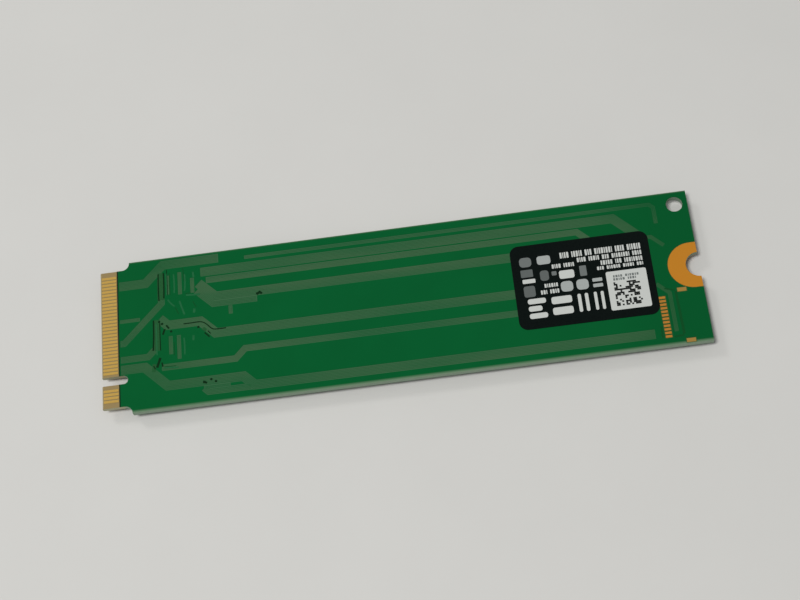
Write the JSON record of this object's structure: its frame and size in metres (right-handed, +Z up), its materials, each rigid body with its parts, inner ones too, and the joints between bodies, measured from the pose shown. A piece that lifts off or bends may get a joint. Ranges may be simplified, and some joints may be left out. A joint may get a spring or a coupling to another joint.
{
  "type": "nvme ssd",
  "caption": "Bare M.2 2280 storage card with an M-key edge connector, green solder mask with trace bundles, a black label and flash packages underneath.",
  "frame": {"origin": "on the surface that the drive lies on, below the middle of the board", "axes": "+X from the edge connector to the screw notch, +Y towards the side of the tooling hole, +Z up, out of the labelled face"},
  "size_m": [0.08, 0.022, 0.0021],
  "materials": {
    "laminate": "pale glass-epoxy, sawn edge",
    "solder_mask": "green satin-gloss solder mask",
    "gold_plating": "satin gold on copper",
    "bare_land": "satin gold on copper, deeper in colour",
    "label_film": "black satin film",
    "mould_compound": "matt black epoxy",
    "solder": "bright tin",
    "capacitor_ceramic": "tan fired ceramic",
    "resistor_ceramic": "black glazed film",
    "fuse_ceramic": "white ceramic",
    "inductor_body": "dark grey pressed metal powder",
    "crystal_ceramic": "dark fired ceramic",
    "crystal_cover": "nickel-gold plated lid"
  },
  "bodies": {
    "root": {"bulk_capacitor_ends": "solder", "bulk_capacitors": "capacitor_ceramic", "chip_resistor_ends": "solder", "chip_resistors": "resistor_ceramic", "circuit_board": "laminate", "controller": "mould_compound", "controller_solder_balls": "solder", "coupling_capacitor_ends": "solder", "coupling_capacitors": "capacitor_ceramic", "crystal_base": "crystal_ceramic", "crystal_lid": "crystal_cover", "crystal_pads": "solder", "decoupling_capacitor_ends": "solder", "decoupling_capacitors": "capacitor_ceramic", "flash_memory_1": "mould_compound", "flash_memory_1_solder_balls": "solder", "flash_memory_2": "mould_compound", "flash_memory_2_solder_balls": "solder", "flash_memory_3": "mould_compound", "flash_memory_3_solder_balls": "solder", "flash_memory_4": "mould_compound", "flash_memory_4_solder_balls": "solder", "front_edge_contacts": "gold_plating", "front_screw_ring": "bare_land", "front_solder_mask": "solder_mask", "header_anchor_pads": "bare_land", "header_pads": "bare_land", "inductor_terminals": "solder", "input_fuse": "fuse_ceramic", "input_fuse_ends": "solder", "load_switch": "mould_compound", "load_switch_solder_joints": "solder", "power_chip": "mould_compound", "power_chip_solder_joints": "solder", "power_inductor_1": "inductor_body", "power_inductor_2": "inductor_body", "power_inductor_3": "inductor_body", "rear_edge_contacts": "gold_plating", "rear_label": "label_film", "rear_screw_ring": "bare_land", "rear_solder_mask": "solder_mask", "reservoir_capacitor_ends": "solder", "reservoir_capacitors": "capacitor_ceramic", "temperature_sensor": "mould_compound", "temperature_sensor_solder_joints": "solder"}
  },
  "joints": []
}
